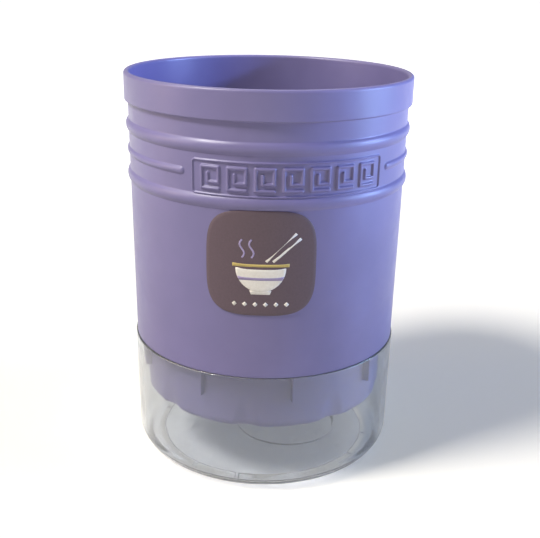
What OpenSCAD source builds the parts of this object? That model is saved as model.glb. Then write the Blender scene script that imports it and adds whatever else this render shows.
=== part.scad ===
// Round chopstick holder: a ribbed barrel with a drain floor, a lift-out
// divider, a clear drip base and a curved label. Millimetres, +Z up.
// The origin is the centre of the ring that the base stands on.
// Angles run from the front, -Y, towards +X.

/* [Barrel] */
// Height from the table to the lip
total_h = 166; // [150:1:190]
// Outer diameter of the lip
rim_d = 119; // [118.6:0.2:122]
// How far the collar stands out over the wall below it
collar_out = 1.4; // [1:0.1:2]
// How much the wall's radius shrinks from the collar to the base
taper = 0.9; // [0:0.1:2]
// Thickness of the barrel's wall
wall = 2.4; // [2:0.1:2.8]
// Height of the plain collar under the lip
collar_h = 11.5; // [9:0.5:14]
// Thickness of the step that stands on the base
shelf_t = 2.6; // [2:0.2:4]

/* [Ribs and plaque] */
// Depth below the lip of the upper rib
rib_1_drop = 21.4; // [19:0.2:22]
// Depth below the lip of the interrupted middle rib
rib_2_drop = 31.6; // [30:0.2:34]
// Depth below the lip of the lower rib
rib_3_drop = 41.8; // [41:0.2:44]
// Width of the upper and lower ribs
rib_w = 5; // [3.5:0.1:5.4]
// Width of the middle rib
mid_rib_w = 3; // [2:0.1:4]
// How far the upper and lower ribs stand out
rib_out = 1.1; // [0.6:0.1:1.4]
// How far the middle rib stands out
mid_rib_out = 0.8; // [0.4:0.1:1.2]
// Height of the plaque between the ribs
plaque_h = 13.4; // [10:0.2:14]
// Angle of the plaque's middle
plaque_mid = 9.9; // [-20:0.1:20]
// Angle that the plaque spans
plaque_span = 76.6; // [60:0.2:90]
// Angle between the plaque's end and the middle rib's end
plaque_gap = 4.8; // [3:0.2:9]
// Width of the plaque's frame line
frame_w = 0.8; // [0.6:0.1:1.2]
// Height of the plaque's relief
relief_out = 0.8; // [0.4:0.1:1]
// Squared spirals, or keys, in a row on the plaque
key_count = 7; // [5:1:7]
// Height of each key
key_h = 9.4; // [7:0.2:10]
// Length of each key
key_l = 8; // [7:0.2:9]
// Width of the keys' stroke
key_w = 1.3; // [0.9:0.1:1.4]
// Angle kept free at the plaque's two ends together
plaque_margin = 5; // [3:0.5:8]
// How far the plaque sits below the middle of the two ribs
plaque_drop = 1.1; // [0:0.1:1.5]

/* [Drain skirt] */
// How far the skirt stands in from the barrel's wall
skirt_in = 4.8; // [4:0.1:6]
// How far the skirt reaches down into the base
skirt_h = 25.6; // [18:0.2:32]
// Thickness of the skirt's wall and floor
skirt_t = 2; // [1.6:0.1:2.4]
// Radius of the skirt's lower edge
skirt_r = 4; // [3.4:0.2:6]
// Locating fins and flutes round the skirt
fin_count = 9; // [6:3:12]
// Angle of the first fin
fin_turn = 13; // [0:1:39]
// Height of the fins
fin_h = 12; // [8:0.5:14]
// Thickness of the fins
fin_t = 1; // [0.8:0.1:1.6]
// Depth of the flutes at the skirt's lower edge
flute_in = 1.6; // [0.8:0.1:2.4]
// Radius of the flutes
flute_r = 13; // [10:0.5:18]
// Height over which the flutes fade out
flute_h = 14; // [10:0.5:16]
// Diameter of the drain holes
hole_d = 4.6; // [3:0.2:5]
// Clear floor between the divider's post and the middles of the first ring of holes
hole_start = 7.5; // [6:0.5:9]
// Clear floor between the middles of the last ring of holes and the skirt's rounding
hole_end = 6; // [4:0.5:8]

/* [Drip base] */
// Height of the base's rim above the table
base_h = 53; // [50:0.5:58]
// How far the base's rim stands out past the barrel's foot
base_out = 0.5; // [0:0.1:1]
// How much the base's radius shrinks from its rim to its rounded corner
base_taper = 0.5; // [0:0.1:1]
// Thickness of the base's wall
base_t = 2.2; // [1.8:0.1:2.4]
// Thickness of the base's floor
base_floor_t = 2.4; // [2:0.1:3]
// Radius of the base's outer corner
base_r = 9; // [7:0.5:11]
// Inner radius of the base's bottom corner
base_in_r = 2.6; // [2:0.1:5]
// Width of the flat ring that the base stands on
foot_ring_w = 2.2; // [1.5:0.1:5]
// Height of the ring that the base stands on
foot_ring_h = 1.2; // [0.8:0.1:1.6]
// Width of the notches in the foot ring
notch_w = 1.6; // [1:0.1:2.4]
// Width of the foot ring that a notch leaves on its outer side
notch_stop = 0.4; // [0.3:0.1:1]
// Angle of the first pair of notches
notch_turn = -24.5; // [-40:0.5:40]
// Angle between the two notches of a pair
notch_pair = 24; // [16:1:30]
// Pairs of notches round the foot ring
notch_pairs = 4; // [3:1:5]
// Diameter of the shallow round dish in the floor
dish_d = 45; // [30:1:56]
// Depth of that dish
dish_in = 0.7; // [0.3:0.1:1]
// How far the dish sits to the right of the middle
dish_off = 11; // [0:0.5:14]

/* [Divider] */
// Height of the lift-out divider
divider_h = 96; // [80:1:110]
// Thickness of the divider's wings
wing_t = 1.8; // [1.4:0.1:2.2]
// Wings on the divider, one to every third fin
wing_count = 3; // [3]
// Slope cut off each wing's upper corner
wing_bevel = 12; // [6:1:20]
// How much wider the wings reach at the top than in the skirt
wing_flare = 3.5; // [0:0.5:4]
// Gap for water between each wing and the drain floor
wing_lift = 0.6; // [0.4:0.1:1.5]
// How far the post stands above the wings
post_rise = 4; // [2:0.5:8]
// Outer diameter of the divider's middle post
post_d = 13; // [11:0.5:15]
// Bore of the middle post, which a finger lifts
post_bore_d = 9; // [7:0.5:10]
// Height of the guide ribs that hold each wing
guide_h = 4; // [2.5:0.5:6]
// Radial length of the guide ribs
guide_l = 5.4; // [3:0.2:6]
// Distance of the guide ribs past the second ring of holes
guide_gap = 2; // [1.6:0.1:2.4]

/* [Label] */
// Width and height of the label
label_size = 41.7; // [34:0.1:44]
// Thickness of the label
label_t = 0.35; // [0.2:0.05:0.5]
// Depth of the label's middle below the lip
label_drop = 65; // [64:0.5:72]
// Angle of the label's middle
label_turn = -1.4; // [-20:0.1:20]
// Roundness of the label's corners: 2 is a circle, more is squarer
label_power = 3.8; // [3:0.1:8]

/* [Fits] */
// Running gap between pieces that slide
fit = 0.3; // [0.25:0.05:0.4]
// Gap between a divider wing and the barrel's wall
wing_fit = 0.6; // [0.4:0.1:0.9]
// Glue line under the label
glue = 0.05; // [0.03:0.01:0.1]

/* [Hidden] */

lavender = [0.56, 0.53, 0.76];
clear_plastic = [0.86, 0.88, 0.9, 0.35];
label_brown = [0.4, 0.32, 0.35];

// Smoothness of the preview: every round shape is a true circle
$fn = 96;
// Overlap that makes a union or a cut clean
eps = 0.02;

rim_r = rim_d / 2;
neck_r = rim_r - collar_out;
foot_r = neck_r - taper;
skirt_top_r = foot_r - skirt_in;
neck_z = total_h - collar_h;
shelf_z = base_h;
skirt_z = shelf_z - skirt_h;
cavity_step_z = shelf_z + shelf_t;
base_rim_r = foot_r + base_out;
base_low_r = base_rim_r - base_taper;
foot_ring_r = base_low_r - base_r - foot_ring_w;
label_z = total_h - label_drop;
hole_first_r = post_d / 2 + hole_start;
hole_last_r = skirt_top_r - skirt_r - flute_in - hole_end;
hole_rings = 3;
hole_step = (hole_last_r - hole_first_r) / (hole_rings - 1);
guide_in = hole_first_r + hole_step + guide_gap;
lip_r = wall / 2;
fillet = 0.5;
groove = 0.25;

// Outer radius of the barrel's wall at a height
function wall_r(z) = foot_r + (neck_r - foot_r) * (z - shelf_z) / (neck_z - shelf_z);

// Radius of a circle that stands out by rise over a chord
function bulge_r(chord, rise) = (chord * chord / 4 + rise * rise) / (2 * rise);

// Draws its children turned to an angle from the front, with +X outwards
module at_angle(turn) {
    rotate([0, 0, turn - 90])
        children();
}

// One strip of a shell: an arc about the front angle mid, between two radii
module arc_strip(mid, span, r_in, r_out, z_low, z_high) {
    at_angle(mid - span / 2)
        rotate_extrude(angle = span)
            translate([r_in, z_low])
                square([r_out - r_in, z_high - z_low]);
}

// Round section of a rib, sunk in the wall
module rib_section(drop, chord, rise) {
    z = total_h - drop;
    r = bulge_r(chord, rise);
    translate([wall_r(z) + rise - r, z])
        circle(r = r);
}

module barrel_outer_section() {
    // Tapered wall with a small chamfer that shows as the dark joint line
    polygon([
        [0, shelf_z],
        [foot_r - groove, shelf_z],
        [foot_r, shelf_z + groove],
        [neck_r, neck_z + eps],
        [neck_r, total_h - lip_r],
        [0, total_h - lip_r]
    ]);
    // Collar with a rounded lower edge
    polygon([
        [0, neck_z],
        [rim_r - fillet, neck_z],
        [rim_r - fillet, neck_z + fillet],
        [rim_r, neck_z + fillet],
        [rim_r, total_h - lip_r],
        [0, total_h - lip_r]
    ]);
    translate([rim_r - fillet, neck_z + fillet])
        circle(r = fillet);
    // Rounded lip
    translate([rim_r - lip_r, total_h - lip_r])
        circle(r = lip_r);
    translate([0, total_h - lip_r])
        square([rim_r - lip_r, lip_r]);
}

module rib_sections() {
    rib_section(rib_1_drop, rib_w, rib_out);
    rib_section(rib_3_drop, rib_w, rib_out);
}

// Skirt below the step, solid: a drum with a rounded lower edge
module skirt_section(r, z_low, z_high, corner) {
    translate([0, z_low])
        square([r - corner, z_high - z_low]);
    translate([0, z_low + corner])
        square([r, z_high - z_low - corner]);
    translate([r - corner, z_low + corner])
        circle(r = corner);
}

// Cones that hollow the flutes; grow thickens them for the inner face
module flute_cutters(grow) {
    slope = flute_in / flute_h;
    below = 2;
    for (i = [0 : fin_count - 1])
        at_angle(fin_turn + (i + 0.5) * 360 / fin_count)
            translate([skirt_top_r - flute_in + flute_r, 0, skirt_z - below])
                cylinder(
                    r1 = flute_r + grow + slope * below,
                    r2 = flute_r + grow - slope * (flute_h + 1),
                    h = flute_h + 1 + below
                );
}

module skirt_solid(inset, z_low, z_high, corner) {
    difference() {
        rotate_extrude()
            skirt_section(skirt_top_r - inset, z_low, z_high, corner);
        flute_cutters(inset);
    }
}

module barrel_cavity() {
    rotate_extrude()
        polygon([
            [0, cavity_step_z],
            [wall_r(cavity_step_z) - wall, cavity_step_z],
            [rim_r - wall, total_h - lip_r],
            [rim_r - wall, total_h - lip_r + eps],
            [rim_r - lip_r, total_h + eps],
            [0, total_h + eps]
        ]);
}

// Middle rib: an arc with round ends, broken for the plaque
module mid_rib() {
    z = total_h - rib_2_drop;
    r = wall_r(z);
    gap = plaque_span + 2 * plaque_gap;
    bulge = bulge_r(mid_rib_w, mid_rib_out);
    at_angle(plaque_mid + gap / 2)
        rotate_extrude(angle = 360 - gap)
            intersection() {
                translate([r + mid_rib_out - bulge, z])
                    circle(r = bulge);
                translate([r - wall / 2, z - mid_rib_w])
                    square([wall, 2 * mid_rib_w]);
            }
    for (side = [-1, 1])
        at_angle(plaque_mid + side * gap / 2)
            translate([r + mid_rib_out - bulge, 0, z])
                intersection() {
                    sphere(r = bulge);
                    translate([bulge - mid_rib_out - wall / 2, -mid_rib_w, -mid_rib_w])
                        cube([wall, 2 * mid_rib_w, 2 * mid_rib_w]);
                }
}

// Squared spiral of one stroke width, from its lower left corner
module key_outline() {
    w = key_w;
    gap = key_w * 0.9;
    low = w + gap;
    left = w + gap;
    top = key_h - w - gap;
    polygon([
        [0, 0], [key_l, 0], [key_l, w], [w, w],
        [w, key_h - w], [key_l - w, key_h - w], [key_l - w, low + w], [left + w, low + w],
        [left + w, top], [left, top], [left, low], [key_l, low],
        [key_l, key_h], [0, key_h]
    ]);
}

// Plaque: a thin frame line round a row of squared spirals
module plaque() {
    z_mid = total_h - (rib_1_drop + rib_3_drop) / 2 - plaque_drop;
    low = z_mid - plaque_h / 2;
    high = z_mid + plaque_h / 2;
    r_in = wall_r(low) - wall / 2;
    r_out = wall_r(high) + relief_out;
    frame_step = frame_w / r_out * 180 / PI;
    pitch = (plaque_span - plaque_margin) / key_count;
    difference() {
        arc_strip(plaque_mid, plaque_span, r_in, r_out, low, high);
        arc_strip(plaque_mid, plaque_span - 2 * frame_step, r_in - 1, r_out + 1, low + frame_w, high - frame_w);
    }
    intersection() {
        rotate_extrude()
            translate([r_in, low])
                square([r_out - r_in, plaque_h]);
        for (i = [0 : key_count - 1])
            at_angle(plaque_mid + (i - (key_count - 1) / 2) * pitch)
                translate([0, -key_l / 2, z_mid - key_h / 2])
                    rotate([90, 0, 90])
                        linear_extrude(height = rim_r + 2)
                            key_outline();
    }
}

// Rings of drain holes, turned so that the divider's wings pass between them
module drain_holes() {
    for (ring = [1 : hole_rings])
        for (i = [0 : ring * fin_count - 1])
            at_angle(fin_turn + (i + 0.5) * 360 / (ring * fin_count))
                translate([hole_first_r + (ring - 1) * hole_step, 0, skirt_z - eps])
                    cylinder(d = hole_d, h = skirt_t + 2 * eps);
}

// Fins that centre the skirt in the base
module fins() {
    reach = base_inner_r(shelf_z - fin_h) - fit;
    for (i = [0 : fin_count - 1])
        at_angle(fin_turn + i * 360 / fin_count)
            translate([skirt_top_r - skirt_t / 2, -fin_t / 2, shelf_z - fin_h])
                cube([reach - skirt_top_r + skirt_t / 2, fin_t, fin_h + eps]);
}

// Pairs of low ribs on the drain floor that hold the divider's wings
module guides() {
    for (i = [0 : wing_count - 1])
        at_angle(fin_turn + i * 360 / wing_count)
            for (side = [-1, 1])
                translate([guide_in, side * (wing_t / 2 + fit + fin_t / 2) - fin_t / 2, skirt_z + skirt_t - eps])
                    cube([guide_l, fin_t, guide_h + eps]);
}

module barrel() {
    color(lavender) {
        difference() {
            union() {
                rotate_extrude() {
                    barrel_outer_section();
                    rib_sections();
                }
                mid_rib();
                plaque();
                skirt_solid(0, skirt_z, shelf_z + eps, skirt_r);
                fins();
            }
            barrel_cavity();
            skirt_solid(skirt_t, skirt_z + skirt_t, cavity_step_z + eps, skirt_r - skirt_t);
            drain_holes();
        }
        guides();
    }
}

// Inner radius of the base's wall at a height
function base_inner_r(z) =
    base_low_r + (base_rim_r - base_low_r) * (z - base_r) / (base_h - base_r) - base_t;

module base_outer_section() {
    polygon([
        [0, 0],
        [base_low_r - base_r, 0],
        [base_low_r - base_r, base_r],
        [base_low_r, base_r],
        [base_rim_r, base_h - fillet],
        [base_rim_r - fillet, base_h - fillet],
        [base_rim_r - fillet, base_h],
        [0, base_h]
    ]);
    translate([base_low_r - base_r, base_r])
        circle(r = base_r);
    translate([base_rim_r - fillet, base_h - fillet])
        circle(r = fillet);
}

module base_inner_section() {
    floor_z = foot_ring_h + base_floor_t;
    corner = base_in_r;
    low_r = base_low_r - base_t;
    polygon([
        [0, floor_z],
        [low_r - corner, floor_z],
        [low_r - corner, floor_z + corner],
        [low_r, floor_z + corner],
        [base_inner_r(base_h), base_h + eps],
        [0, base_h + eps]
    ]);
    translate([low_r - corner, floor_z + corner])
        circle(r = corner);
}

module drip_base() {
    color(clear_plastic)
        difference() {
            rotate_extrude()
                base_outer_section();
            rotate_extrude()
                base_inner_section();
            // Underside, hollow within the foot ring
            translate([0, 0, -eps])
                cylinder(r = foot_ring_r, h = foot_ring_h + eps);
            translate([dish_off, 0, foot_ring_h + base_floor_t - dish_in])
                cylinder(d = dish_d, h = dish_in + eps);
            for (i = [0 : notch_pairs - 1])
                for (side = [-1, 1])
                    at_angle(notch_turn + i * 360 / notch_pairs + side * notch_pair / 2)
                        translate([foot_ring_r - 1, -notch_w / 2, -eps])
                            cube([1 + foot_ring_w - notch_stop, notch_w, foot_ring_h + eps]);
        }
}

// Outline of one wing: upright in the skirt, then leaning out with the wall
module wing_outline() {
    low_z = skirt_z + skirt_t + wing_lift;
    low_r = skirt_top_r - skirt_t - wing_fit;
    top_z = skirt_z + skirt_t + divider_h - post_rise;
    root_r = (post_bore_d + post_d) / 4;
    polygon([
        [root_r, low_z],
        [low_r - skirt_r, low_z],
        [low_r, low_z + skirt_r],
        [low_r, cavity_step_z],
        [low_r + wing_flare, top_z - wing_bevel],
        [low_r + wing_flare - wing_bevel, top_z],
        [root_r, top_z]
    ]);
}

module divider() {
    low_z = skirt_z + skirt_t;
    color(lavender)
        difference() {
            union() {
                translate([0, 0, low_z])
                    cylinder(d = post_d, h = divider_h);
                for (i = [0 : wing_count - 1])
                    at_angle(fin_turn + i * 360 / wing_count)
                        rotate([90, 0, 0])
                            translate([0, 0, -wing_t / 2])
                                linear_extrude(height = wing_t)
                                    wing_outline();
            }
            translate([0, 0, low_z - eps])
                cylinder(d = post_bore_d, h = divider_h + 2 * eps);
        }
}

// Superellipse outline of the label
module label_outline() {
    half = label_size / 2;
    points = 64;
    function bend(v) = sign(v) * pow(abs(v), 2 / label_power);
    polygon([for (i = [0 : points - 1])
        [half * bend(cos(i * 360 / points)), half * bend(sin(i * 360 / points))]]);
}

module label() {
    low = label_z - label_size;
    high = label_z + label_size;
    color(label_brown)
        intersection() {
            rotate_extrude()
                polygon([
                    [wall_r(low) + glue, low],
                    [wall_r(low) + glue + label_t, low],
                    [wall_r(high) + glue + label_t, high],
                    [wall_r(high) + glue, high]
                ]);
            at_angle(label_turn)
                translate([0, 0, label_z])
                    rotate([90, 0, 90])
                        linear_extrude(height = rim_r)
                            label_outline();
        }
}

barrel();
drip_base();
divider();
label();
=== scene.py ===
"""Chopstick holder: a lavender polypropylene barrel that stands in a clear drip base."""
import math

import bmesh
import bpy
import numpy as np
from mathutils import Matrix, Vector
from mathutils.geometry import delaunay_2d_cdt


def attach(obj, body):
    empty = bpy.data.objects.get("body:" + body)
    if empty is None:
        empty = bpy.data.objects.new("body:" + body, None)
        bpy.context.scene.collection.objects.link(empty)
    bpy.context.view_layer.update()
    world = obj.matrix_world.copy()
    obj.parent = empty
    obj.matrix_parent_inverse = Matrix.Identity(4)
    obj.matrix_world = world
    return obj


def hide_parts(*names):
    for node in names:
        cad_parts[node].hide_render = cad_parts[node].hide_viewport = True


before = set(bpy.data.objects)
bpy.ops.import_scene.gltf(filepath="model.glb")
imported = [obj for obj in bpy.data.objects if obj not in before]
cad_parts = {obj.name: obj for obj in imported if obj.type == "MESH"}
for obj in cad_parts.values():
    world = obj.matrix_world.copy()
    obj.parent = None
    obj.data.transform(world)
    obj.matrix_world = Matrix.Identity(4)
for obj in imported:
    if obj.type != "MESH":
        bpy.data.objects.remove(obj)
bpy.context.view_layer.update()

MM = 0.001

# Sizes in millimetres, as in the part's source
TOTAL_H = 166.0
RIM_R = 59.5
NECK_R = 58.1
FOOT_R = 57.2
WALL = 2.4
COLLAR_H = 11.5
SHELF_Z = 53.0
STEP_Z = 55.6
FILLET = 0.5
GROOVE = 0.25

RIB_DROPS = (21.4, 41.8)
RIB_W = 5.0
RIB_OUT = 1.1
MID_RIB_DROP = 31.6
MID_RIB_W = 3.0
MID_RIB_OUT = 0.8
# How softly a rib runs into the wall, and how far past its middle the fine mesh goes
RIB_BLEND = 0.3
MID_RIB_BLEND = 0.25
RIB_ROOM = 4.0

PLAQUE_MID = 9.9
PLAQUE_SPAN = 76.6
PLAQUE_GAP = 4.8
PLAQUE_H = 13.4
PLAQUE_DROP = 1.1
PLAQUE_Z = TOTAL_H - sum(RIB_DROPS) / 2 - PLAQUE_DROP
PLAQUE_MARGIN = 5.0
PLAQUE_CORNER = 1.2
FRAME_W = 0.8
FRAME_OUT = 0.6
RELIEF = 0.8
KEY_COUNT = 7
KEY_H = 9.4
KEY_L = 8.0
KEY_W = 1.3
# Gap between the spiral's lines, as a share of their width
KEY_GAP = 0.9

SKIRT_R = 52.4
SKIRT_Z = 27.4
SKIRT_T = 2.0
SKIRT_CORNER = 4.0
FLUTE_IN = 1.6
FLUTE_R = 13.0
FLUTE_H = 14.0
FIN_COUNT = 9
FIN_TURN = 13.0
FIN_H = 12.0
FIN_T = 1.0
FLOOR_R = 44.0
HOLE_D = 4.6
HOLE_FIRST_R = 14.0
HOLE_RINGS = 3
HOLE_END = 6.0
HOLE_STEP = (SKIRT_R - SKIRT_CORNER - FLUTE_IN - HOLE_END - HOLE_FIRST_R) / (HOLE_RINGS - 1)
GUIDE_GAP = 2.0
GUIDE_IN = HOLE_FIRST_R + HOLE_STEP + GUIDE_GAP
GUIDE_L = 5.4
GUIDE_H = 4.0

BASE_H = 53.0
BASE_R = 57.7
BASE_LOW_R = 57.2
BASE_T = 2.2
BASE_FLOOR_T = 2.4
BASE_CORNER = 9.0
BASE_INNER_CORNER = 2.6
FOOT_RING_R = 46.0
FOOT_RING_H = 1.2
RING_EDGE = 0.35
NOTCH_REACH = 1.8
DISH_R = 22.5
DISH_IN = 0.7
DISH_OFF = 11.0
# A low bead round the dish catches the light as the real edge does
DISH_BEAD = 0.3
DISH_SLOPE = 0.8
NOTCH_W = 1.6
NOTCH_TURN = -24.5
NOTCH_PAIR = 24.0
NOTCH_ANGLES = [NOTCH_TURN + turn * 90 + side * NOTCH_PAIR / 2 for turn in range(4) for side in (-1, 1)]

DIVIDER_H = 96.0
WING_COUNT = 3
WING_T = 1.8
WING_FIT = 0.6
WING_BEVEL = 12.0
WING_FLARE = 3.5
WING_LIFT = 0.6
POST_RISE = 4.0
POST_R = 6.5
POST_BORE_R = 4.5

LABEL_SIZE = 41.7
LABEL_T = 0.35
LABEL_Z = 101.0
LABEL_TURN = -1.4
LABEL_POWER = 3.8
GLUE = 0.05
FIT = 0.3

# Mesh of the turned pieces: degrees between its columns, plain and where relief needs more
COLUMN_STEP = 1.5
RELIEF_COLUMN_STEP = 0.22
NOTCH_COLUMN_STEP = 0.2


def wall_r(z):
    """Outer radius of the barrel's wall at a height."""
    return FOOT_R + (NECK_R - FOOT_R) * (z - SHELF_Z) / (TOTAL_H - COLLAR_H - SHELF_Z)


def base_inner_r(z):
    """Inner radius of the base's wall at a height."""
    return BASE_LOW_R + (BASE_R - BASE_LOW_R) * (z - BASE_CORNER) / (BASE_H - BASE_CORNER) - BASE_T


# Colours, materials and their nodes

def linear(hex_colour, alpha=1.0):
    """sRGB hex colour as linear RGBA."""
    parts = [int(hex_colour[i:i + 2], 16) / 255 for i in (1, 3, 5)]
    return tuple(c / 12.92 if c <= 0.04045 else ((c + 0.055) / 1.055) ** 2.4 for c in parts) + (alpha,)


def add(material, kind, links=None, **settings):
    """Adds one node, with its settings and its inputs' values or links."""
    node = material.node_tree.nodes.new(kind)
    inputs = settings.pop("inputs", {})
    for name, value in settings.items():
        setattr(node, name, value)
    for name, value in inputs.items():
        node.inputs[name].default_value = value
    for name, socket in (links or {}).items():
        material.node_tree.links.new(socket, node.inputs[name])
    return node


def new_material(name):
    material = bpy.data.materials.new(name)
    material.use_nodes = True
    material.node_tree.nodes.clear()
    return material


def finish_material(material, shader):
    add(material, "ShaderNodeOutputMaterial", {"Surface": shader.outputs[0]})
    return material


def per_metre(feature_mm):
    """Noise scale whose features are about the given size, on coordinates in metres."""
    return 1000.0 / feature_mm


def moulded_pp(name, colour, deep, light, roughness):
    """Polypropylene, injection moulded in a spark-eroded mould: satin, slightly waxy, faint flow clouds."""
    material = new_material(name)
    place = add(material, "ShaderNodeTexCoord").outputs["Object"]
    clouds = add(material, "ShaderNodeTexNoise", {"Vector": place},
                 inputs={"Scale": per_metre(35), "Detail": 3.0, "Roughness": 0.55})
    tone = add(material, "ShaderNodeValToRGB", {"Fac": clouds.outputs["Fac"]})
    tone.color_ramp.elements[0].position = 0.3
    tone.color_ramp.elements[0].color = linear(deep)
    tone.color_ramp.elements[1].position = 0.7
    tone.color_ramp.elements[1].color = linear(light)
    middle = tone.color_ramp.elements.new(0.5)
    middle.color = linear(colour)
    # Rubbed patches: handling polishes the satin grain a little
    rub = add(material, "ShaderNodeTexNoise", {"Vector": place},
              inputs={"Scale": per_metre(9), "Detail": 5.0, "Roughness": 0.6})
    gloss = add(material, "ShaderNodeMapRange", {"Value": rub.outputs["Fac"]},
                inputs={"From Min": 0.3, "From Max": 0.7,
                        "To Min": roughness - 0.05, "To Max": roughness + 0.06})
    # Spark-eroded grain is about 0.1 mm; drawn at 0.45 mm so that it shows at this distance
    grain = add(material, "ShaderNodeTexNoise", {"Vector": place},
                inputs={"Scale": per_metre(0.45), "Detail": 2.0})
    waves = add(material, "ShaderNodeTexNoise", {"Vector": place},
                inputs={"Scale": per_metre(14), "Detail": 1.0})
    swell = add(material, "ShaderNodeBump", {"Height": waves.outputs["Fac"]},
                inputs={"Strength": 0.25, "Distance": 0.00025})
    bump = add(material, "ShaderNodeBump",
               {"Height": grain.outputs["Fac"], "Normal": swell.outputs["Normal"]},
               inputs={"Strength": 0.16, "Distance": 0.00006})
    shader = add(material, "ShaderNodeBsdfPrincipled",
                 {"Base Color": tone.outputs["Color"], "Roughness": gloss.outputs["Result"],
                  "Normal": bump.outputs["Normal"]},
                 inputs={"IOR": 1.49, "Specular IOR Level": 0.5})
    return finish_material(material, shader)


def clear_styrene():
    """Styrene plastic, injection moulded and polished: clear, with hairline rubs; its faint grey is painted
    shade for a dimmer room seen through it.
    """
    material = new_material("clear_moulded_styrene")
    place = add(material, "ShaderNodeTexCoord").outputs["Object"]
    # Moulding leaves a slow ripple some 12 mm long in a thin polished wall
    ripple = add(material, "ShaderNodeTexNoise", {"Vector": place},
                 inputs={"Scale": per_metre(12), "Detail": 1.0})
    bump = add(material, "ShaderNodeBump", {"Height": ripple.outputs["Fac"]},
               inputs={"Strength": 0.25, "Distance": 0.0004})
    rubs = add(material, "ShaderNodeTexNoise", {"Vector": place},
               inputs={"Scale": per_metre(3), "Detail": 6.0, "Roughness": 0.7})
    haze = add(material, "ShaderNodeMapRange", {"Value": rubs.outputs["Fac"]},
               inputs={"From Min": 0.45, "From Max": 0.8, "To Min": 0.02, "To Max": 0.12})
    # The grey base colour is painted shade: it darkens what shows through the wall, as a dimmer room behind
    # it would.
    shader = add(material, "ShaderNodeBsdfPrincipled",
                 {"Roughness": haze.outputs["Result"], "Normal": bump.outputs["Normal"]},
                 inputs={"Base Color": linear("#dfe1e3"), "IOR": 1.57, "Transmission Weight": 0.96})
    # Lamps reach what stands behind the clear wall
    rays = add(material, "ShaderNodeLightPath")
    open_way = add(material, "ShaderNodeBsdfTransparent", inputs={"Color": linear("#dcdde0")})
    both = add(material, "ShaderNodeMixShader",
               {"Fac": rays.outputs["Is Shadow Ray"], 1: shader.outputs[0], 2: open_way.outputs[0]})
    return finish_material(material, both)


def printed_film(name, colour, light, roughness=0.5):
    """Paper-backed film, printed and left matt: flat colour with the ink's fine mottle."""
    material = new_material(name)
    place = add(material, "ShaderNodeTexCoord").outputs["Object"]
    # Ink mottle is about 0.3 mm; drawn at 0.8 mm so that it shows
    mottle = add(material, "ShaderNodeTexNoise", {"Vector": place},
                 inputs={"Scale": per_metre(0.8), "Detail": 3.0})
    tone = add(material, "ShaderNodeValToRGB", {"Fac": mottle.outputs["Fac"]})
    tone.color_ramp.elements[0].position = 0.3
    tone.color_ramp.elements[0].color = linear(colour)
    tone.color_ramp.elements[1].position = 0.7
    tone.color_ramp.elements[1].color = linear(light)
    bump = add(material, "ShaderNodeBump", {"Height": mottle.outputs["Fac"]},
               inputs={"Strength": 0.1, "Distance": 0.00004})
    shader = add(material, "ShaderNodeBsdfPrincipled",
                 {"Base Color": tone.outputs["Color"], "Normal": bump.outputs["Normal"]},
                 inputs={"Roughness": roughness, "IOR": 1.5})
    return finish_material(material, shader)


LAVENDER = moulded_pp("lavender_moulded_polypropylene", "#7c74a0", "#77709b", "#8079a6", 0.37)
DIVIDER_PP = moulded_pp("lavender_divider_polypropylene", "#827aa6", "#7e76a2", "#867eaa", 0.45)
CLEAR = clear_styrene()
LABEL_BROWN = printed_film("brown_printed_film", "#5c4b53", "#614f58")
INK_CREAM = printed_film("cream_ink", "#ebe4da", "#f3ede4", 0.55)
INK_LILAC = printed_film("lilac_ink", "#a294bb", "#a99bc1", 0.55)
INK_OCHRE = printed_film("ochre_ink", "#cdb56a", "#d4bd74", 0.55)


# Section lines, (radius, height) in millimetres

def arc(centre_r, centre_z, radius, start, end, steps):
    """Points round an arc; angles in degrees, 0 outwards and 90 up."""
    angles = [math.radians(start + (end - start) * i / steps) for i in range(steps + 1)]
    return [(centre_r + radius * math.cos(a), centre_z + radius * math.sin(a)) for a in angles]


def line(start, end, step, hold=0.15):
    """Points along a straight stretch, with one close to each end to hold the shading."""
    length = math.dist(start, end)
    count = max(1, round(length / step))
    shares = [i / count for i in range(1, count)]
    if length > 4 * hold:
        shares = sorted(set(shares + [hold / length, 1 - hold / length]))
    return [(start[0] + (end[0] - start[0]) * s, start[1] + (end[1] - start[1]) * s) for s in shares]


def path(*stretches):
    """Joins stretches of points and drops repeats."""
    points = []
    for stretch in stretches:
        for point in stretch:
            if not points or math.dist(points[-1], point) > 1e-6:
                points.append(point)
    if math.dist(points[0], points[-1]) < 1e-6:
        points.pop()
    return points


def joined(*corners, step=4.0):
    """A line through corners, each stretch subdivided."""
    points = [corners[0]]
    for start, end in zip(corners, corners[1:]):
        points += line(start, end, step) + [end]
    return points


def turned(radius, angle, z):
    """Arrays of points in metres: angle from the front, in degrees."""
    a = np.radians(angle)
    return np.stack([radius * np.sin(a), -radius * np.cos(a), z + 0 * a], axis=-1) * MM


def make_object(name, vertices, faces, material, smooth=True):
    mesh = bpy.data.meshes.new(name)
    mesh.from_pydata([tuple(v) for v in vertices], [], faces)
    bm = bmesh.new()
    bm.from_mesh(mesh)
    bmesh.ops.recalc_face_normals(bm, faces=bm.faces)
    bm.to_mesh(mesh)
    bm.free()
    for polygon in mesh.polygons:
        polygon.use_smooth = smooth
    mesh.materials.append(material)
    piece = bpy.data.objects.new(name, mesh)
    bpy.context.scene.collection.objects.link(piece)
    return piece


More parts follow.
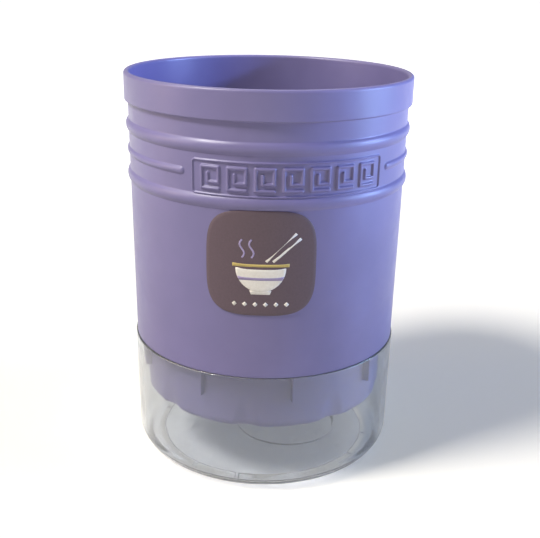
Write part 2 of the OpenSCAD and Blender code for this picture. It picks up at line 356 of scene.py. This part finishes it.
def revolve(name, section, angles, material, shape=None):
    """Closed ring with the given section; shape may move its points.

    It is given the arrays of their radius, angle and height.
    """
    radius = np.array([p[0] for p in section])[:, None] + 0 * np.array(angles)[None, :]
    height = np.array([p[1] for p in section])[:, None] + 0 * radius
    angle = np.array(angles)[None, :] + 0 * radius
    if shape:
        radius, height = shape(radius, angle, height)
    points = turned(radius, angle, height).reshape(-1, 3)
    rows, columns = radius.shape
    faces = []
    for i in range(rows):
        low = i * columns
        high = (i + 1) % rows * columns
        faces += [(low + j, low + (j + 1) % columns, high + (j + 1) % columns, high + j)
                  for j in range(columns)]
    return make_object(name, points, faces, material)


def ring_angles(coarse, fine_ranges=()):
    """Angles round the ring in even steps, finer inside the given (start, end, step) ranges."""
    angles = set(round(a, 4) for a in np.arange(-180, 180, coarse))
    for start, end, step in fine_ranges:
        angles = {a for a in angles if not start <= a <= end}
        angles |= set(round(a, 4) for a in np.arange(start, end + step / 2, step))
    return sorted(angles)


# Barrel

def smoother_max(a, b, blend):
    """The larger value, with the corner rounded over blend."""
    overlap = np.maximum(blend - np.abs(a - b), 0) / blend
    return np.maximum(a, b) + overlap * overlap * blend / 4


def step_down(value, start, end):
    """1 up to start, 0 from end on, smooth between."""
    t = np.clip((value - start) / (end - start), 0, 1)
    return 1 - t * t * (3 - 2 * t)


def bulge(distance, width, rise):
    """Height of a round rib at a distance from its middle line."""
    radius = (width * width / 4 + rise * rise) / (2 * rise)
    inside = np.clip(radius * radius - distance * distance, 0, None)
    height = np.sqrt(inside) - (radius - rise)
    return np.clip(height, -1.0, None)


def ridge(distance, width, flat):
    """1 on a raised line, 0 beside it; flat is the level share of its width."""
    return step_down(distance, width * flat, width * 0.62)


def key_path():
    """Middle line of one squared spiral, from its lower right end inwards."""
    half = KEY_W / 2
    gap = KEY_W * KEY_GAP
    low = KEY_W + gap + half
    left = KEY_W + gap + half
    top = KEY_H - KEY_W - gap - half
    return [(KEY_L - half, half), (half, half), (half, KEY_H - half), (KEY_L - half, KEY_H - half),
            (KEY_L - half, low), (left, low), (left, top)]


def distance_to_path(x, y, points):
    """Least distance of each point of the arrays to a broken line."""
    least = np.full(x.shape, 99.0)
    for (x0, y0), (x1, y1) in zip(points, points[1:]):
        dx, dy = x1 - x0, y1 - y0
        share = np.clip(((x - x0) * dx + (y - y0) * dy) / (dx * dx + dy * dy), 0, 1)
        least = np.minimum(least, np.hypot(x - x0 - share * dx, y - y0 - share * dy))
    return least


def plaque_relief(angle, z):
    """Height of the plaque's frame line and of its row of squared spirals."""
    arc_mm = math.radians(1) * wall_r(PLAQUE_Z)
    across = (angle - PLAQUE_MID) * arc_mm
    up = z - PLAQUE_Z
    half_w = PLAQUE_SPAN / 2 * arc_mm - FRAME_W / 2
    half_h = PLAQUE_H / 2 - FRAME_W / 2
    past_x = np.abs(across) - half_w + PLAQUE_CORNER
    past_y = np.abs(up) - half_h + PLAQUE_CORNER
    outside = np.hypot(np.maximum(past_x, 0), np.maximum(past_y, 0))
    outside += np.minimum(np.maximum(past_x, past_y), 0) - PLAQUE_CORNER
    frame_line = FRAME_OUT * ridge(np.abs(outside), FRAME_W, 0.15)
    pitch = (PLAQUE_SPAN - PLAQUE_MARGIN) / KEY_COUNT * arc_mm
    index = np.clip(np.round(across / pitch), -(KEY_COUNT // 2), KEY_COUNT // 2)
    local = across - index * pitch + KEY_L / 2
    distance = distance_to_path(local, up + KEY_H / 2, key_path())
    return np.maximum(frame_line, RELIEF * ridge(distance, KEY_W, 0.2))


def barrel_relief(angle, z):
    """How far the ribs and the plaque stand out of the barrel's wall."""
    relief = np.zeros_like(z)
    for drop in RIB_DROPS:
        relief = smoother_max(relief, bulge(z - (TOTAL_H - drop), RIB_W, RIB_OUT), RIB_BLEND)
    arc_mm = math.radians(1) * wall_r(TOTAL_H - MID_RIB_DROP)
    gap = PLAQUE_SPAN / 2 + PLAQUE_GAP
    past_end = np.maximum(gap - np.abs(angle - PLAQUE_MID), 0) * arc_mm
    away = np.hypot(z - (TOTAL_H - MID_RIB_DROP), past_end)
    relief = smoother_max(relief, bulge(away, MID_RIB_W, MID_RIB_OUT), MID_RIB_BLEND)
    return np.maximum(np.maximum(relief, 0), plaque_relief(angle, z))


def flute_depth(angle, z):
    """How far the flutes hollow the skirt."""
    pitch = 360 / FIN_COUNT
    from_flute = (angle - FIN_TURN) % pitch - pitch / 2
    across = np.radians(from_flute) * SKIRT_R
    depth = FLUTE_IN * (1 - (z - SKIRT_Z) / FLUTE_H)
    sag = across * across / 2 * (1 / FLUTE_R + 1 / SKIRT_R)
    return smoother_max(depth - sag, 0 * sag, 0.5)


def barrel_shape(radius, angle, height):
    """Raises the ribs and the plaque on the wall's outside, and flutes the skirt."""
    on_wall = (height > SHELF_Z + 1) & (height < TOTAL_H - COLLAR_H - 0.01)
    outside = on_wall & (radius > wall_r(height) - 0.05)
    radius = radius + np.where(outside, barrel_relief(angle, height), 0)
    fluted = (height < SKIRT_Z + FLUTE_H + 1.6) & (radius > FLOOR_R + 1)
    radius = radius - np.where(fluted, flute_depth(angle, height), 0)
    return radius, height


def barrel_section():
    """Wall, collar, rolled lip, inside step and skirt, as one closed line."""
    neck_z = TOTAL_H - COLLAR_H
    lip = WALL / 2
    relief_top = TOTAL_H - RIB_DROPS[0] + RIB_ROOM
    relief_low = TOTAL_H - RIB_DROPS[1] - RIB_ROOM
    neck_round = 0.3
    inner_corner = SKIRT_CORNER - SKIRT_T
    inner_r = SKIRT_R - SKIRT_T
    floor_top = SKIRT_Z + SKIRT_T
    shelf_round = 0.6
    return path(
        joined((FOOT_R - GROOVE, SHELF_Z), (FOOT_R, SHELF_Z + GROOVE)),
        joined((FOOT_R, SHELF_Z + GROOVE), (wall_r(relief_low), relief_low), step=6),
        joined((wall_r(relief_low), relief_low), (wall_r(relief_top), relief_top), step=0.2),
        joined((wall_r(relief_top), relief_top), (NECK_R, neck_z - neck_round), step=3),
        arc(NECK_R + neck_round, neck_z - neck_round, neck_round, 180, 90, 3),
        arc(RIM_R - FILLET, neck_z + FILLET, FILLET, -90, 0, 5),
        joined((RIM_R, neck_z + FILLET), (RIM_R, TOTAL_H - lip), step=3),
        arc(RIM_R - lip, TOTAL_H - lip, lip, 0, 180, 12),
        joined((RIM_R - WALL, TOTAL_H - lip), (wall_r(STEP_Z) - WALL, STEP_Z + shelf_round), step=6),
        arc(wall_r(STEP_Z) - WALL - shelf_round, STEP_Z + shelf_round, shelf_round, 0, -90, 4),
        arc(inner_r + shelf_round, STEP_Z - shelf_round, shelf_round, 90, 180, 4),
        joined((inner_r, STEP_Z - shelf_round), (inner_r, floor_top + inner_corner), step=1.5),
        arc(inner_r - inner_corner, floor_top + inner_corner, inner_corner, 0, -90, 7),
        joined((inner_r - inner_corner, floor_top), (FLOOR_R, floor_top), step=1),
        joined((FLOOR_R, floor_top), (FLOOR_R, SKIRT_Z)),
        joined((FLOOR_R, SKIRT_Z), (SKIRT_R - SKIRT_CORNER, SKIRT_Z), step=1),
        arc(SKIRT_R - SKIRT_CORNER, SKIRT_Z + SKIRT_CORNER, SKIRT_CORNER, -90, 0, 10),
        joined((SKIRT_R, SKIRT_Z + SKIRT_CORNER), (SKIRT_R, SHELF_Z - FILLET), step=1.2),
        arc(SKIRT_R + FILLET, SHELF_Z - FILLET, FILLET, 180, 90, 3),
        joined((SKIRT_R + FILLET, SHELF_Z), (FOOT_R - GROOVE, SHELF_Z)),
    )


def bevelled(piece, width, segments=3):
    bevel = piece.modifiers.new("edges", "BEVEL")
    bevel.width = width * MM
    bevel.segments = segments
    bevel.limit_method = "ANGLE"
    bevel.angle_limit = math.radians(30)
    bevel.harden_normals = True
    return piece


def boxes(name, rows, material, bevel):
    """Boxes given as (angle, radial range, sideways range, height range), bevelled."""
    vertices = []
    faces = []
    for angle, (r0, r1), (s0, s1), (z0, z1) in rows:
        a = math.radians(angle)
        outwards = Vector((math.sin(a), -math.cos(a), 0))
        sideways = Vector((math.cos(a), math.sin(a), 0))
        first = len(vertices)
        for r in (r0, r1):
            for s in (s0, s1):
                for z in (z0, z1):
                    vertices.append((outwards * r + sideways * s + Vector((0, 0, z))) * MM)
        for quad in ((0, 1, 3, 2), (4, 6, 7, 5), (0, 4, 5, 1), (2, 3, 7, 6), (0, 2, 6, 4), (1, 5, 7, 3)):
            faces.append(tuple(first + i for i in quad))
    return bevelled(make_object(name, vertices, faces, material, smooth=False), bevel)


def hole_centres():
    """Middles of the drain holes, in rings turned so that the wings pass between them."""
    for ring in range(1, HOLE_RINGS + 1):
        count = ring * FIN_COUNT
        for i in range(count):
            a = math.radians(FIN_TURN + (i + 0.5) * 360 / count)
            r = HOLE_FIRST_R + (ring - 1) * HOLE_STEP
            yield r * math.sin(a), -r * math.cos(a)


def drain_floor():
    """Perforated disc that closes the skirt, flush with it."""
    rim = [(FLOOR_R * math.cos(a), FLOOR_R * math.sin(a)) for a in np.radians(np.arange(0, 360, 2))]
    points = [Vector(p) for p in rim]
    edges = [(i, (i + 1) % len(rim)) for i in range(len(rim))]
    hole_sides = 20
    for x, y in hole_centres():
        first = len(points)
        for k in range(hole_sides):
            a = math.radians(k * 360 / hole_sides)
            points.append(Vector((x + HOLE_D / 2 * math.cos(a), y + HOLE_D / 2 * math.sin(a))))
        edges += [(first + k, first + (k + 1) % hole_sides) for k in range(hole_sides)]
    flat, _, triangles, *_ = delaunay_2d_cdt(points, edges, [], 0, 1e-4)
    centres = list(hole_centres())
    solid = []
    for triangle in triangles:
        middle = sum((flat[i] for i in triangle), Vector((0, 0))) / 3
        if all(math.dist(middle, c) > HOLE_D / 2 - 0.02 for c in centres):
            solid.append(tuple(triangle))
    count = len(flat)
    vertices = [(p.x * MM, p.y * MM, SKIRT_Z * MM) for p in flat]
    vertices += [(p.x * MM, p.y * MM, (SKIRT_Z + SKIRT_T) * MM) for p in flat]
    faces = [tuple(reversed(t)) for t in solid] + [tuple(i + count for i in t) for t in solid]
    sides = {}
    for triangle in solid:
        for side in zip(triangle, triangle[1:] + triangle[:1]):
            sides[side] = True
    faces += [(a, b, b + count, a + count) for a, b in sides if (b, a) not in sides]
    piece = make_object("drain_floor", vertices, faces, LAVENDER, smooth=False)
    return bevelled(piece, 0.3, 2)


def make_barrel():
    plaque_edge = PLAQUE_SPAN / 2 + 6
    fine = (PLAQUE_MID - plaque_edge, PLAQUE_MID + plaque_edge, RELIEF_COLUMN_STEP)
    columns = ring_angles(COLUMN_STEP, [fine])
    shell = revolve("barrel_shell", barrel_section(), columns, LAVENDER, barrel_shape)
    fin_reach = base_inner_r(SHELF_Z - FIN_H) - FIT
    fin_root = SKIRT_R - 0.6
    fins = boxes("locating_fins",
                 [(FIN_TURN + i * 360 / FIN_COUNT, (fin_root, fin_reach), (-FIN_T / 2, FIN_T / 2),
                   (SHELF_Z - FIN_H, SHELF_Z)) for i in range(FIN_COUNT)], LAVENDER, 0.25)
    floor_top = SKIRT_Z + SKIRT_T
    near = WING_T / 2 + FIT
    guides = boxes("divider_guides",
                   [(FIN_TURN + i * 360 / WING_COUNT, (GUIDE_IN, GUIDE_IN + GUIDE_L),
                     sorted((side * near, side * (near + FIN_T))), (floor_top - 0.2, floor_top + GUIDE_H))
                    for i in range(WING_COUNT) for side in (-1, 1)], LAVENDER, 0.3)
    floor = drain_floor()
    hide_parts("barrel")
    for piece in (shell, fins, guides, floor):
        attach(piece, "barrel")


# Clear base

def base_section():
    corner = BASE_CORNER
    floor_top = FOOT_RING_H + BASE_FLOOR_T
    inner_low_r = BASE_LOW_R - BASE_T
    under = FOOT_RING_H
    ring_out = BASE_LOW_R - corner
    axis_r = 0.02
    return path(
        arc(FOOT_RING_R + RING_EDGE, RING_EDGE, RING_EDGE, 180, 270, 4),
        joined((FOOT_RING_R + RING_EDGE, 0), (ring_out, 0), step=0.6),
        arc(ring_out, corner, corner, -90, 0, 22),
        joined((BASE_LOW_R, corner), (BASE_R, BASE_H - FILLET), step=3),
        arc(BASE_R - FILLET, BASE_H - FILLET, FILLET, 0, 90, 5),
        joined((BASE_R - FILLET, BASE_H), (base_inner_r(BASE_H) + 0.3, BASE_H)),
        arc(base_inner_r(BASE_H) + 0.3, BASE_H - 0.3, 0.3, 90, 180, 4),
        joined((base_inner_r(BASE_H), BASE_H - 0.3), (inner_low_r, floor_top + BASE_INNER_CORNER), step=3),
        arc(inner_low_r - BASE_INNER_CORNER, floor_top + BASE_INNER_CORNER, BASE_INNER_CORNER, 0, -90, 16),
        joined((inner_low_r - BASE_INNER_CORNER, floor_top), (axis_r, floor_top), step=0.4),
        joined((axis_r, floor_top), (axis_r, under), step=3),
        joined((axis_r, under), (FOOT_RING_R - RING_EDGE, under), step=2),
        arc(FOOT_RING_R - RING_EDGE, under - RING_EDGE, RING_EDGE, 90, 0, 4),
    )


def base_shape(radius, angle, height):
    """Cuts the notches in the foot ring and sinks the shallow dish, right of the middle."""
    off = np.full(radius.shape, 99.0)
    for notch in NOTCH_ANGLES:
        around = (angle - notch + 180) % 360 - 180
        off = np.minimum(off, np.abs(np.radians(around)) * radius)
    depth = step_down(off, NOTCH_W / 2 - 0.15, NOTCH_W / 2 + 0.15)
    in_ring = (radius > FOOT_RING_R - 2 * RING_EDGE) & (radius < FOOT_RING_R + NOTCH_REACH)
    low = in_ring & (height < FOOT_RING_H)
    height = np.where(low, height + (FOOT_RING_H - height) * depth, height)
    around = np.radians(angle)
    from_dish = np.hypot(radius * np.sin(around) - DISH_OFF, radius * np.cos(around))
    floor_top = np.abs(height - FOOT_RING_H - BASE_FLOOR_T) < 0.01
    sunk = DISH_IN * step_down(from_dish, DISH_R - 0.1 - DISH_SLOPE, DISH_R - 0.1)
    bead = DISH_BEAD * step_down(np.abs(from_dish - DISH_R - 0.6), 0.2, 0.9)
    return radius, height + np.where(floor_top, bead - sunk, 0)


def make_base():
    turns = [(notch + 180) % 360 - 180 for notch in NOTCH_ANGLES]
    fine = [(turn - 1.6, turn + 1.6, NOTCH_COLUMN_STEP) for turn in turns]
    base = revolve("clear_base", base_section(), ring_angles(COLUMN_STEP, fine), CLEAR, base_shape)
    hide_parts("drip_base")
    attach(base, "drip_base")


# Divider

def wing_outline():
    low_z = SKIRT_Z + SKIRT_T + WING_LIFT
    low_r = SKIRT_R - SKIRT_T - WING_FIT
    top_z = SKIRT_Z + SKIRT_T + DIVIDER_H - POST_RISE
    shoulder = low_r + WING_FLARE
    root = (POST_R + POST_BORE_R) / 2
    return [(root, low_z), (low_r - SKIRT_CORNER, low_z), (low_r, low_z + SKIRT_CORNER), (low_r, STEP_Z),
            (shoulder, top_z - WING_BEVEL), (shoulder - WING_BEVEL, top_z), (root, top_z)]


def make_divider():
    outline = wing_outline()
    vertices = []
    faces = []
    for i in range(WING_COUNT):
        a = math.radians(FIN_TURN + i * 360 / WING_COUNT)
        outwards = Vector((math.sin(a), -math.cos(a), 0))
        sideways = Vector((math.cos(a), math.sin(a), 0))
        first = len(vertices)
        for side in (-1, 1):
            aside = sideways * side * WING_T / 2
            vertices += [(outwards * r + aside + Vector((0, 0, z))) * MM for r, z in outline]
        n = len(outline)
        faces.append(tuple(first + k for k in range(n)))
        faces.append(tuple(first + n + k for k in reversed(range(n))))
        faces += [(first + k, first + n + k, first + n + (k + 1) % n, first + (k + 1) % n) for k in range(n)]
    wings = bevelled(make_object("divider_wings", vertices, faces, DIVIDER_PP, smooth=False), 0.6)
    low_z = SKIRT_Z + SKIRT_T
    top_z = low_z + DIVIDER_H
    edge = 0.6
    section = path(
        joined((POST_R, low_z), (POST_R, top_z - edge), step=8),
        arc(POST_R - edge, top_z - edge, edge, 0, 90, 4),
        arc(POST_BORE_R + edge, top_z - edge, edge, 90, 180, 4),
        joined((POST_BORE_R, top_z - edge), (POST_BORE_R, low_z), step=8),
    )
    post = revolve("divider_post", section, ring_angles(5), DIVIDER_PP)
    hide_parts("divider")
    for piece in (wings, post):
        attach(piece, "divider")


# Label: a brown film with a generic bowl and sticks, laid on the barrel's curve

def on_label(across, up, lift):
    """Point on the label's face, in metres; across and up are measured from its middle."""
    r = wall_r(LABEL_Z + up) + GLUE + LABEL_T + lift
    turn = Matrix.Rotation(math.radians(LABEL_TURN), 3, "Z")
    return turn @ Vector((across, -math.sqrt(r * r - across * across), LABEL_Z + up)) * MM


def superellipse(size, count=160):
    points = []
    for i in range(count):
        a = 2 * math.pi * i / count
        c, s = math.cos(a), math.sin(a)
        points.append((size / 2 * math.copysign(abs(c) ** (2 / LABEL_POWER), c),
                       size / 2 * math.copysign(abs(s) ** (2 / LABEL_POWER), s)))
    return points


def make_label():
    """Sheet made of rings from its middle out, with a rounded edge down to the barrel."""
    outline = superellipse(LABEL_SIZE)
    count = len(outline)
    rings = [(s / 16, 0.0) for s in range(1, 16)]
    rings += [(1 - 0.1 / (LABEL_SIZE / 2), 0.0), (1.0, -0.08), (1.0, -LABEL_T)]
    vertices = [on_label(0, 0, 0)]
    faces = []
    for scale, lift in rings:
        vertices += [on_label(x * scale, y * scale, lift) for x, y in outline]
    faces += [(0, 1 + i, 1 + (i + 1) % count) for i in range(count)]
    for k in range(len(rings) - 1):
        low = 1 + k * count
        faces += [(low + i, low + count + i, low + count + (i + 1) % count, low + (i + 1) % count)
                  for i in range(count)]
    last = 1 + (len(rings) - 1) * count
    vertices.append(on_label(0, 0, -LABEL_T))
    faces += [(len(vertices) - 1, last + (i + 1) % count, last + i) for i in range(count)]
    return make_object("label_film", vertices, faces, LABEL_BROWN)


def ink(name, outlines, material, lift=0.02):
    """Flat printed shapes laid on the label: closed outlines in millimetres from its middle."""
    vertices = []
    faces = []
    for outline in outlines:
        points = [Vector(p) for p in outline]
        edges = [(i, (i + 1) % len(points)) for i in range(len(points))]
        xs = [p.x for p in points]
        ys = [p.y for p in points]
        lattice = [Vector((x, y)) for x in np.arange(min(xs), max(xs), 1.0)
                   for y in np.arange(min(ys), max(ys), 1.0)]
        flat, _, triangles, *_ = delaunay_2d_cdt(points + lattice, edges, [list(range(len(points)))], 1, 1e-5)
        first = len(vertices)
        vertices += [on_label(p.x, p.y, lift) for p in flat]
        faces += [tuple(first + i for i in t) for t in triangles]
    piece = make_object(name, vertices, faces, material)
    thick = piece.modifiers.new("ink", "SOLIDIFY")
    thick.thickness = 0.03 * MM
    thick.offset = 0
    return piece


def disc(x, y, r, start=0, end=360, steps=48):
    return [(x + r * math.cos(math.radians(start + (end - start) * i / steps)),
             y + r * math.sin(math.radians(start + (end - start) * i / steps)))
            for i in range(steps + (end - start < 360))]


def stroke(points, width):
    """Outline of a line of even width through points."""
    left = []
    right = []
    for i, (x, y) in enumerate(points):
        x0, y0 = points[max(i - 1, 0)]
        x1, y1 = points[min(i + 1, len(points) - 1)]
        length = math.hypot(x1 - x0, y1 - y0)
        nx, ny = (y0 - y1) / length * width / 2, (x1 - x0) / length * width / 2
        left.append((x + nx, y + ny))
        right.append((x - nx, y - ny))
    return left + right[::-1]


def make_print():
    """Steaming bowl with two sticks over a row of beads, in millimetres from the label's middle."""
    bowl_y = -1.5
    bowl = [disc(0, bowl_y, 9.6, 180, 360)]
    foot_low = bowl_y - 10.6
    foot_top = bowl_y - 9.0
    foot = [[(-3.6, foot_low), (3.6, foot_low), (4.2, foot_top), (-4.2, foot_top)]]
    rim_low = bowl_y + 0.5
    rim_top = bowl_y + 1.8
    rim_half = 10.8
    rim = [[(-rim_half, rim_low), (rim_half, rim_low), (rim_half, rim_top), (-rim_half, rim_top)]]
    band_top = bowl_y - 3.4
    band_low = bowl_y - 4.9
    band = [[(-8.9, band_top), (8.9, band_top), (8.3, band_low), (-8.3, band_low)]]
    stick_foot = bowl_y + 2.6
    sticks = [stroke([(2.0, stick_foot), (13.2, bowl_y + 13.6)], 1.0),
              stroke([(4.6, stick_foot), (14.9, bowl_y + 11.6)], 1.0)]
    steam = [stroke([(x + 0.9 * math.sin(t * math.pi / 4), bowl_y + 4 + t * 0.9) for t in range(9)], 0.7)
             for x in (-7.2, -3.6)]
    bead_y = -16.2
    beads = [[(x - 1.0, bead_y), (x, bead_y - 1.0), (x + 1.0, bead_y), (x, bead_y + 1.0)]
             for x in range(-10, 11, 4)]
    return [ink("print_bowl", bowl + foot, INK_CREAM), ink("print_rim", rim, INK_OCHRE),
            ink("print_band", band, INK_LILAC, 0.05), ink("print_sticks", sticks, INK_CREAM),
            ink("print_steam", steam, INK_LILAC), ink("print_beads", beads, INK_CREAM)]


def make_label_pieces():
    film = make_label()
    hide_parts("label")
    for piece in [film] + make_print():
        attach(piece, "barrel")


# Room, lamps and camera; their sizes are in metres

FLOOR_HALF = 14.0
# Brightness that the floor adds of its own to the eye, near the holder and far from it
FLOOR_LIFT = 0.20
FAR_LIFT = 0.85
# Brightness of the room, as a lamp and as gloss shows it
ROOM_LIGHT = 0.19
ROOM_SEEN = 0.35
# Windows that gloss shows: direction, colour and strength, and the cosines where the edge starts and ends
WINDOWS = [
    ((-0.85, -0.30, 0.42), (5.0, 4.7, 4.2), 0.955, 0.925),
    ((0.90, -0.20, 0.38), (2.0, 2.3, 2.9), 0.965, 0.935),
    ((-0.10, 0.50, 1.00), (1.5, 1.5, 1.5), 0.93, 0.80),
]


def make_floor():
    corners = [(-FLOOR_HALF, -FLOOR_HALF, 0), (FLOOR_HALF, -FLOOR_HALF, 0),
               (FLOOR_HALF, FLOOR_HALF, 0), (-FLOOR_HALF, FLOOR_HALF, 0)]
    floor = make_object("floor", corners, [(0, 1, 2, 3)], floor_material(), smooth=False)


def seen_directly(owner):
    """1 for what the eye sees, straight or through gloss and clear plastic, and 0 for what only lights."""
    rays = add(owner, "ShaderNodeLightPath").outputs
    both = add(owner, "ShaderNodeMath", {0: rays["Is Camera Ray"], 1: rays["Is Glossy Ray"]},
               operation="MAXIMUM")
    return add(owner, "ShaderNodeMath", {0: both.outputs[0], 1: rays["Is Transmission Ray"]},
               operation="MAXIMUM").outputs[0]


def floor_material():
    """White photo paper: matt, with a lift of its own so that it meets the white background."""
    material = new_material("white_photo_paper")
    paper = add(material, "ShaderNodeBsdfDiffuse", inputs={"Color": linear("#f0ede6"), "Roughness": 1.0})
    place = add(material, "ShaderNodeNewGeometry")
    reach = add(material, "ShaderNodeVectorMath", {0: place.outputs["Position"]}, operation="LENGTH")
    spread = add(material, "ShaderNodeMapRange", {"Value": reach.outputs["Value"]},
                 interpolation_type="SMOOTHSTEP",
                 inputs={"From Min": 0.25, "From Max": 1.0, "To Min": FLOOR_LIFT, "To Max": FAR_LIFT})
    lift = add(material, "ShaderNodeMath", {0: seen_directly(material), 1: spread.outputs["Result"]},
               operation="MULTIPLY")
    glow = add(material, "ShaderNodeEmission", {"Strength": lift.outputs[0]},
               inputs={"Color": linear("#ffffff")})
    both = add(material, "ShaderNodeAddShader", {0: paper.outputs[0], 1: glow.outputs[0]})
    return finish_material(material, both)


def mixed(owner, share, first, second):
    """One colour socket, first where share is 0 and second where it is 1."""
    node = add(owner, "ShaderNodeMix", data_type="VECTOR")
    sockets = [socket for socket in node.inputs if socket.enabled]
    for socket, source in zip(sockets, (share, first, second)):
        owner.node_tree.links.new(source, socket)
    return [socket for socket in node.outputs if socket.enabled][0]


def window(owner, direction, towards, colour, inner, outer, under):
    """Adds a soft-edged round light to the colour under it."""
    facing = add(owner, "ShaderNodeVectorMath", {0: direction}, operation="DOT_PRODUCT",
                 inputs={1: Vector(towards).normalized()})
    amount = add(owner, "ShaderNodeMapRange", {"Value": facing.outputs["Value"]},
                 interpolation_type="SMOOTHSTEP", inputs={"From Min": outer, "From Max": inner})
    return add(owner, "ShaderNodeVectorMath", {0: amount.outputs["Result"], 2: under},
               operation="MULTIPLY_ADD", inputs={1: colour}).outputs["Vector"]


def tint(owner, red, green, blue):
    """A colour in linear light, which may be brighter than white."""
    return add(owner, "ShaderNodeCombineXYZ", inputs={"X": red, "Y": green, "Z": blue}).outputs["Vector"]


def make_world():
    """White to the eye, plain grey as a lamp, and a room with windows to gloss and clear plastic."""
    world = bpy.data.worlds.new("studio")
    bpy.context.scene.world = world
    world.use_nodes = True
    world.node_tree.nodes.clear()
    direction = add(world, "ShaderNodeTexCoord").outputs["Generated"]
    rays = add(world, "ShaderNodeLightPath").outputs
    room = tint(world, ROOM_SEEN, ROOM_SEEN, ROOM_SEEN * 1.04)
    for towards, colour, inner, outer in WINDOWS:
        room = window(world, direction, towards, colour, inner, outer, room)
    indirect = add(world, "ShaderNodeMath", {0: rays["Is Glossy Ray"], 1: rays["Is Transmission Ray"]},
                   operation="MAXIMUM")
    shown = mixed(world, indirect.outputs[0], tint(world, ROOM_LIGHT, ROOM_LIGHT, ROOM_LIGHT), room)
    shown = mixed(world, rays["Is Camera Ray"], shown, tint(world, 1.0, 1.0, 1.0))
    light = add(world, "ShaderNodeBackground", {"Color": shown}, inputs={"Strength": 1.0})
    add(world, "ShaderNodeOutputWorld", {"Surface": light.outputs[0]})


def aim(lamp, name, place, target, watts, colour):
    """Gives a lamp its strength and colour, and sets it up facing its target."""
    lamp.energy = watts
    lamp.color = linear(colour)[:3]
    holder = bpy.data.objects.new(name, lamp)
    holder.location = place
    holder.rotation_euler = (Vector(target) - Vector(place)).to_track_quat("-Z", "Y").to_euler()
    bpy.context.scene.collection.objects.link(holder)


def area_lamp(name, place, target, size, watts, colour):
    lamp = bpy.data.lights.new(name, "AREA")
    lamp.shape = "DISK"
    lamp.size = size
    aim(lamp, name, place, target, watts, colour)


def snoot(name, place, target, width, watts, colour):
    """Narrow soft spot, width degrees across."""
    lamp = bpy.data.lights.new(name, "SPOT")
    lamp.spot_size = math.radians(width)
    lamp.spot_blend = 1.0
    lamp.shadow_soft_size = 0.05
    aim(lamp, name, place, target, watts, colour)


def make_lamps():
    """A high warm-white key from the front left, and cool light from a window on the right."""
    middle = (0, 0, 0.09)
    mouth = (-0.03, 0.02, 0.158)
    area_lamp("high_key", (-0.63, -0.33, 1.02), middle, 0.30, 13.5, "#fffcf7")
    area_lamp("warm_left", (-1.00, -0.12, 0.22), middle, 0.4, 1.5, "#ffdcae")
    area_lamp("cool_right", (0.98, -0.06, 0.17), middle, 0.55, 9.5, "#a0c8ff")
    snoot("cool_window", (0.92, -0.04, 0.38), mouth, 14.0, 40.0, "#9fb4ff")


# The photograph's camera, found from the circles of the lip, ribs and base
CAMERA_PLACE = (2.07, -360.41, TOTAL_H + 42.37)
CAMERA_PITCH = 19.818
CAMERA_ROLL = 1.1515
FOCAL_PX = 856.28
IMAGE_W = 540
SENSOR_MM = 36.0


def make_camera():
    pitch = math.radians(CAMERA_PITCH)
    roll = math.radians(CAMERA_ROLL)
    forward = Vector((0, math.cos(pitch), -math.sin(pitch)))
    level_up = Vector((0, math.sin(pitch), math.cos(pitch)))
    right = math.cos(roll) * Vector((1, 0, 0)) + math.sin(roll) * level_up
    up = -math.sin(roll) * Vector((1, 0, 0)) + math.cos(roll) * level_up
    camera = bpy.data.cameras.new("camera")
    camera.sensor_width = SENSOR_MM
    camera.lens = FOCAL_PX / IMAGE_W * SENSOR_MM
    camera.clip_start = 0.01
    camera.clip_end = 50
    holder = bpy.data.objects.new("camera", camera)
    turn = Matrix((right, up, -forward)).transposed().to_4x4()
    holder.matrix_world = Matrix.Translation(Vector(CAMERA_PLACE) * MM) @ turn
    bpy.context.scene.collection.objects.link(holder)
    bpy.context.scene.camera = holder


bpy.context.scene.view_settings.view_transform = "Standard"
make_camera()
make_barrel()
make_base()
make_divider()
make_label_pieces()
make_floor()
make_world()
make_lamps()
